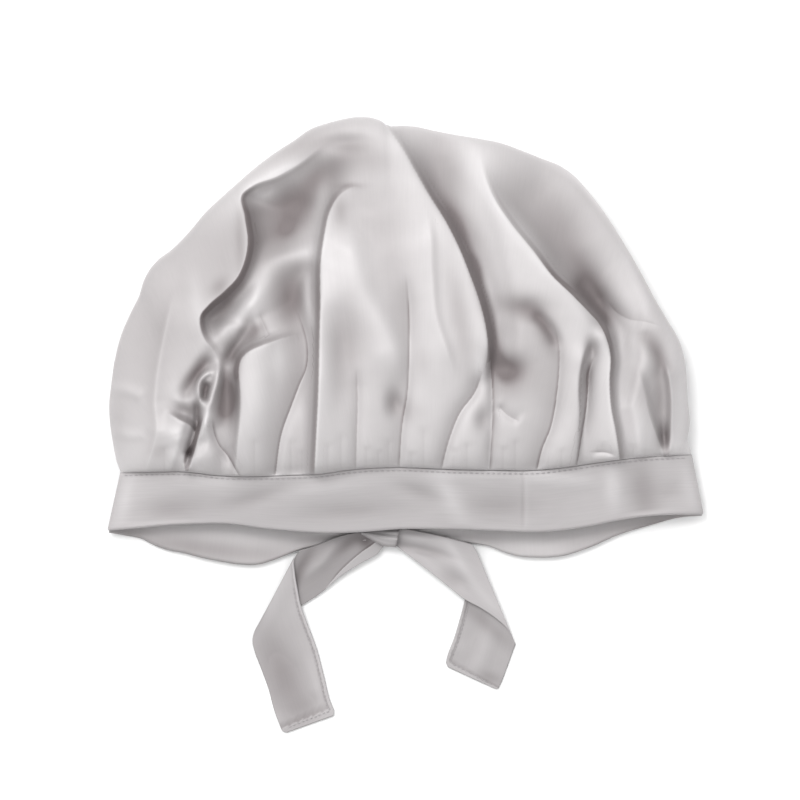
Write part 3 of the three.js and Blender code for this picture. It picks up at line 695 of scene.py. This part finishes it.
# Headband topstitching
# A row of fine lockstitch through both walls of the headband, just below its seam edge.
def thread_material():
    """Twisted thread, darker than the satin"""
    twine = bpy.data.materials.new("thread")
    twine.use_nodes = True
    nodes, links = twine.node_tree.nodes, twine.node_tree.links
    shader = nodes["Principled BSDF"]
    shader.inputs["Roughness"].default_value = 0.55
    shader.inputs["Sheen Weight"].default_value = 0.3
    place = nodes.new("ShaderNodeTexCoord")
    twist = nodes.new("ShaderNodeTexWave")
    twist.bands_direction = "DIAGONAL"
    twist.inputs["Scale"].default_value = 1500
    colour = nodes.new("ShaderNodeValToRGB")
    colour.color_ramp.elements[0].color = (0.27, 0.258, 0.262, 1)
    colour.color_ramp.elements[1].color = (0.44, 0.42, 0.43, 1)
    bump = nodes.new("ShaderNodeBump")
    bump.inputs["Strength"].default_value = 0.3
    bump.inputs["Distance"].default_value = 0.0001
    links.new(place.outputs["Object"], twist.inputs["Vector"])
    links.new(twist.outputs["Fac"], colour.inputs["Fac"])
    links.new(colour.outputs["Color"], shader.inputs["Base Color"])
    links.new(twist.outputs["Fac"], bump.inputs["Height"])
    links.new(bump.outputs["Normal"], shader.inputs["Normal"])
    return twine


thread = thread_material()


def stitches(name, route, pitch=0.0027, length=0.0019, thickness=0.0004):
    """A row of stitches laid along a route of places on the cloth: rounded dashes of thread, end to end"""
    route = np.asarray(route, float)
    far = np.r_[0, np.cumsum(np.linalg.norm(np.diff(route, axis=0), axis=1))]
    shape = Matrix.Diagonal((length / 2, thickness / 2, thickness / 2, 1))
    bm = bmesh.new()
    for k in range(int(far[-1] / pitch)):
        start = Vector([np.interp(k * pitch, far, route[:, axis]) for axis in range(3)])
        end = Vector([np.interp(k * pitch + length, far, route[:, axis]) for axis in range(3)])
        turn = (end - start).to_track_quat("X", "Z").to_matrix().to_4x4()
        place = Matrix.Translation((start + end) / 2) @ turn @ shape
        bmesh.ops.create_uvsphere(bm, u_segments=8, v_segments=6, radius=1, matrix=place)
    for face in bm.faces:
        face.smooth = True
    piece = made(bm, name)
    piece.data.materials.append(thread)
    return piece


def row_on(surface, u, v, lift=0.0004):
    """Places along a row on a surface, lifted off the cloth"""
    at = np.array(surface(u, v)[:3]).T
    at[:, 2] += lift
    return at


across_band = np.linspace(0.008, 0.992, 400)
below_seam = np.full(400, 0.976)
topstitching = stitches("headband_stitches", row_on(headband_surface, across_band, below_seam))
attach(topstitching, "bonnet")
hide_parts("headband_topstitching")


# Nape bands
# The back of the mouth is the same folded strip in two halves, which run from the side joins to the knot and
# are drawn together there. Its inner side shows below the headband as two shallow lobes.
nape_foot = through([
    (108, 533), (125, 536), (140, 539), (152, 545), (165, 550), (185, 554), (200, 558), (220, 562),
    (240, 565), (258, 565), (272, 561), (285, 556), (298, 551), (320, 546), (345, 542), (366, 541),
    (383, 541), (400, 542), (430, 542), (473, 544), (490, 547), (505, 553), (520, 557), (535, 558),
    (560, 557), (590, 548), (620, 535), (650, 526), (680, 518), (703, 516),
])
KNOT_LEFT, KNOT_RIGHT = 0.4345, 0.4915  # where the knot's two ends lie along the nape bands, as shares
# Patches of painted shade on the nape bands, or below 0 painted highlight: how much, half length, half width,
# lean in degrees and middle
NAPE_PAINTED_SHADE_AND_LIGHT = [
    (0.4, 60, 12, 5, (228, 550)), (0.2, 40, 10, 0, (165, 543)), (0.1, 40, 10, 0, (590, 545)),
    (0.45, 44, 8, -12, (664, 524)), (0.3, 20, 6, 0, (122, 533)), (0.2, 30, 8, 0, (330, 540)),
    (-0.12, 30, 8, 0, (535, 545)),
]


def nape_place(share, w):
    """Places on the middle of the nape bands, w from their lower edge at 0 to their seam at 1"""
    lie = 0.0014  # height of a band's middle where it lies on the table
    side_rise = JOIN - 0.0022  # from there up to the side joins
    gathered = 0.0026  # how far it is drawn up beside the knot
    knot_reach = 0.05  # the share of the bands beside the knot that it gathers
    lip_height, pleat_height = 0.0022, 0.0008
    foot, seam = nape_foot(share), nape_seam(share)
    x, y = plan(*(foot + (seam - foot) * w[:, None]).T)
    near_knot = np.minimum(np.abs(share - KNOT_LEFT), np.abs(share - KNOT_RIGHT))
    drawn = np.exp(-((near_knot / knot_reach) ** 1.4))
    lip = 0
    for start, end in ((0, KNOT_LEFT), (KNOT_RIGHT, 1)):
        lobe = np.sin(np.pi * np.clip((share - start) / (end - start), 0, 1)) ** 2
        lip = lip + lip_height * (1 - w) ** 2 * lobe
    pleats = pleat_height * np.sin(w * 20) * drawn
    return x, y, lie + side_rise * turned_up(share) + gathered * drawn * (1 - w) + lip + pleats


def nape_half(start, end):
    """The surface of the nape bands from one share of their length to another"""
    def place(u, v):
        at = folded(nape_place, start + (end - start) * u, v)
        w = np.abs(2 * v - 1)
        painted_shade = swells(*squares(at), NAPE_PAINTED_SHADE_AND_LIGHT)
        # Painted shade, darker towards the bands' lower edge and fading out halfway up towards the headband,
        # where the real shadow falls, with the listed patches added
        return *at.T, np.clip(0.28 * (1 - smooth(0, 0.5, w)) + painted_shade, 0, 1)

    return place


nape_satin = satin("satin_nape", (0.6, 0.58, 0.584), width=0.15, length=0.056)
for side, start, end in (("left", 0.0005, KNOT_LEFT), ("right", KNOT_RIGHT, 0.9995)):
    band = cloth(f"nape_strip_{side}", 200, 70, nape_half(start, end), SATIN_THICKNESS, nape_satin)
    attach(band, "bonnet")
    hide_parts(f"nape_band_{side}")


# Knot
# The tie is passed once round its own ends and pulled tight, which draws the two nape bands together. Its
# wrap is narrow on the left, opens to the right, and is creased along the pull.
knot_line = through([
    (361, 533.2, 1.6), (367, 534.2, 3.6), (376, 536, 6.6), (386, 537.6, 8.8), (398, 537.6, 9.6),
])


def knot_surface(u, v):
    """The wrap: u along the knot from left to right, v once round it"""
    middle = 0.0056  # height of the knot's middle
    narrow, opening, creases = 0.0022, 0.0026, 0.0004  # half its thickness on the left, and what is added
    turn = 2 * np.pi * v
    x, y, radius = knot_line(u).T
    pull = 0.5 * np.sin(5 * turn + 2.5 * u) * u
    x, y = plan(x + 2 * u * np.sin(turn), y - (radius + pull) * np.sin(turn))
    high = middle + (narrow + opening * u + creases * np.sin(7 * turn + 3 * u) * u) * np.cos(turn)
    # Painted shade: some over the whole wrap, more at its open right end and on its half towards the ties
    mouth_shade = 0.3 * np.exp(-(((u - 1) / 0.05) ** 2))
    return x, y, high, 0.1 + mouth_shade + 0.25 * smooth(0.5, 1, -np.sin(turn))


knot_satin = satin("satin_knot", (0.5, 0.482, 0.486), width=0.02, length=0.035)
knot = cloth("knot_turn", columns=40, rows=72, place=knot_surface, thickness=0.0006, material=knot_satin)
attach(knot, "bonnet")
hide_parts("knot_wrap")


# Ties
# Two single strips of satin, hemmed on all sides, with a bright face and a duller reverse. Each leaves the
# knot gathered and is folded over once: the left one on top of itself, the right one under.
TIE_THICKNESS = 0.0005
TIE_COLUMNS = 60
HEM_DEPTH = 0.0027


def strip(name, rows, place, face, reverse, face_up):
    """A hemmed strip whose two sides take the face and the reverse of the satin"""
    piece = cloth(name, TIE_COLUMNS, rows, place, TIE_THICKNESS)
    piece.data.materials.append(face if face_up else reverse)
    piece.data.materials.append(reverse if face_up else face)
    front_faces = TIE_COLUMNS * rows
    for polygon in piece.data.polygons:
        polygon.material_index = int(front_faces <= polygon.index < 2 * front_faces)
    return piece


def tie_surface(first, second, waves, painted_shade=(), hem=None, turned=None):
    """A strip between two long edges, drawn with heights in millimetres; u runs from the first to the second.
    waves are its swells, which also paint it lighter or darker, and the next list is painted shade. hem is
    the long edge, 0 or 1, that shows its doubled hem, and turned is how far a turned-up edge shows along the
    first one."""
    def edge(points):
        return through([(*plan(x, y), z * 0.001) for x, y, z in points])

    one, two = edge(first), edge(second)
    lowest = 0.0007  # a strip's upper side, where it lies on the table
    plain_shade, swell_shade, hem_shade = 0.22, 0.16, 0.16
    hem_height = 0.00025
    turned_end = 0.46  # how far along the strip its turned-up edge shows
    turned_height = 0.0003

    def place(u, v):
        corner = np.clip((np.abs(2 * u - 1) - 0.86) / 0.14, 0, 1)
        v = v - 0.03 * corner**2 * smooth(0.9, 1, v)
        at = one(v) + (two(v) - one(v)) * u[:, None]
        x, y = squares(at)
        swell = swells(x, y, waves)
        at[:, 2] = np.maximum(at[:, 2] + 0.001 * swell, lowest)
        # Painted shade: even over the strip, less on a swell, more in a dent, and more in the listed patches
        shade = plain_shade - swell_shade * swell + swells(x, y, painted_shade)
        side = np.full(len(u), -9.0)
        dark = np.zeros(len(u))
        if hem is not None:
            width = np.linalg.norm(two(v) - one(v), axis=1)
            length = np.linalg.norm((one(np.ones(1)) - one(np.zeros(1)))[0])
            inward = np.minimum(1.7 * np.abs(hem - u) * width, (1 - v) * length)
            uneven = HEM_DEPTH + 0.00025 * np.sin(90 * v + 40 * u) + 0.0002 * np.sin(230 * v + 70 * u)
            # The doubled hem is lighter in colour, with a painted shadow line beside its inner edge
            doubled = 1 - smooth(-0.0003, 0.0003, inward - uneven)
            at[:, 2] += hem_height * doubled
            shade -= hem_shade * doubled * (0.6 + 0.4 * np.sin(320 * v + 60 * u))
            side, dark = (inward - uneven) / SQUARE, np.full(len(u), 0.25)
        if turned:
            # The turned-up edge takes little painted shade; the rest of the strip takes more, and a painted
            # shadow lies along it beside the turn
            over = turned * (1 - v / turned_end) - u
            shade = np.where(over > 0, 0.05, shade + 0.2)
            side, dark = -over * 60, np.full(len(u), 0.4) * smooth(0, 0.1, turned_end - v)
            at[:, 2] += turned_height * smooth(0, 0.02, over)
        return *at.T, np.clip(shade, 0, 1), side, dark

    return place


# The ties' face is a darker copy of the crown's satin, painted shade for the lesser sheen that its warp shows
# from above; the reverse is darker again, as the satin's dull side.
tie_face = satin("satin_tie", (0.53, 0.51, 0.515), width=0.03, length=0.09)
tie_reverse = satin("satin_tie_reverse", (0.46, 0.442, 0.446), width=0.03, length=0.09)

left_inner_surface = tie_surface(
    first=[
        (384, 546, 3.2), (378, 553.5, 3.6), (362, 563, 3.8), (340, 577, 3.2), (320, 594, 2.2),
        (290, 613, 1.4), (253, 640, 0.9),
    ],
    second=[
        (374, 534, 6.2), (364, 532.5, 6), (350, 534, 5.8), (335, 538, 5.4), (318, 545, 5), (298, 551, 4.6),
    ],
    waves=[
        (0.9, 26, 7, -32, (318, 566)), (-0.5, 22, 6, -40, (348, 548)), (0.5, 20, 5, -50, (330, 552)),
        (-0.8, 40, 6, -62, (296, 580)),
    ],
    painted_shade=[(0.5, 8, 7, 30, (366, 542)), (0.25, 20, 6, -40, (346, 545)), (0.35, 36, 6, -62, (293, 584))],
    turned=0.55,
)
left_inner = strip("tie_left_inner", 110, left_inner_surface, tie_face, tie_reverse, face_up=False)
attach(left_inner, "tie_left")
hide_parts("tie_left_upper")

left_end_surface = tie_surface(
    first=[
        (260, 622, 3.6), (254, 632, 3.0), (252, 641, 2.4), (254, 652, 1.8), (260, 668, 1.2), (268, 690, 0.9),
        (274, 712, 0.9), (280, 728, 0.9), (283, 735, 0.9),
    ],
    second=[
        (298, 549.5, 6.2), (294, 558, 5.8), (294.5, 572, 5), (297, 588, 4.2), (300, 604, 3.4),
        (307, 624, 2.2), (316, 648, 1.3), (324, 678, 0.9), (330, 702, 0.9), (336, 716, 0.9),
    ],
    waves=[
        (0.8, 40, 10, -68, (276, 596)), (-1.0, 40, 14, 66, (280, 668)), (0.7, 26, 7, 74, (318, 690)),
        (0.5, 12, 9, 0, (278, 722)), (-0.5, 16, 8, -20, (304, 706)),
    ],
    painted_shade=[(0.32, 60, 30, 70, (285, 688))],
    hem=1,
)
left_end = strip("tie_left_outer", 130, left_end_surface, tie_face, tie_reverse, face_up=True)
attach(left_end, "tie_left_end")
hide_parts("tie_left_lower")

right_inner_surface = tie_surface(
    first=[
        (394, 544, 4.6), (400, 549, 4.8), (410, 556.5, 5), (430, 572, 4.8), (450, 588, 4.4), (465, 600, 4),
        (480, 608, 3.6), (495, 618, 3.2), (509, 631, 2.8), (516, 645, 2.6),
    ],
    second=[
        (394, 531, 6.4), (404, 529.5, 6.6), (418, 531.5, 6.4), (440, 536, 6), (460, 541, 5.4), (474, 545, 5),
    ],
    waves=[
        (1.0, 26, 6, 8, (414, 538)), (-1.2, 30, 5, 14, (424, 551)), (1.2, 34, 9, 58, (460, 562)),
        (-1.2, 16, 9, 30, (455, 581)), (0.6, 24, 7, 42, (438, 574)), (0.8, 24, 8, 48, (493, 606)),
        (-0.5, 10, 5, 20, (402, 547)),
    ],
)
right_inner = strip("tie_right_inner", 110, right_inner_surface, tie_face, tie_reverse, face_up=True)
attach(right_inner, "tie_right")
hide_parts("tie_right_upper")

right_end_surface = tie_surface(
    first=[
        (473, 546, 3.4), (470, 570, 2), (465, 601, 1), (460, 620, 0.9), (454, 640, 0.9), (447, 659, 0.9),
        (445.5, 667, 0.9),
    ],
    second=[(516, 645, 1.0), (508, 667, 0.9), (501, 685, 0.9), (498, 691, 0.9)],
    waves=[(0.7, 30, 9, -70, (484, 655)), (0.4, 12, 8, 0, (458, 650))],
    painted_shade=[(0.3, 36, 8, 42, (486, 624)), (0.25, 14, 6, 20, (490, 678))],
    hem=0,
)
right_end = strip("tie_right_outer", 90, right_end_surface, tie_face, tie_reverse, face_up=False)
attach(right_end, "tie_right")
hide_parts("tie_right_lower")


# Tie hems
# The hem of each tie end is held by a row of small stitches a few millimetres in from the cut: down along the
# long edge, round the corner, and across the end.
def hem_row(surface, down, across):
    """Places along a hem, from shares of the strip's length at one share of its width, then across its end"""
    return row_on(
        surface,
        np.r_[np.full(len(down), across[0]), across],
        np.r_[down, np.full(len(across), down[-1])],
    )


HEM_STITCHES = {"pitch": 0.0022, "length": 0.0016, "thickness": 0.0003}
over = np.linspace(0, 1, 30)
left_row = hem_row(left_end_surface, np.linspace(0.2, 0.965, 60), 0.925 - 0.88 * over)
left_hem = stitches("tie_left_stitches", left_row, **HEM_STITCHES)
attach(left_hem, "tie_left_end")
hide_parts("tie_left_hem_stitching")
right_row = hem_row(right_end_surface, np.linspace(0.45, 0.955, 40), 0.08 + 0.87 * over)
right_hem = stitches("tie_right_stitches", right_row, **HEM_STITCHES)
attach(right_hem, "tie_right")
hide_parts("tie_right_hem_stitching")
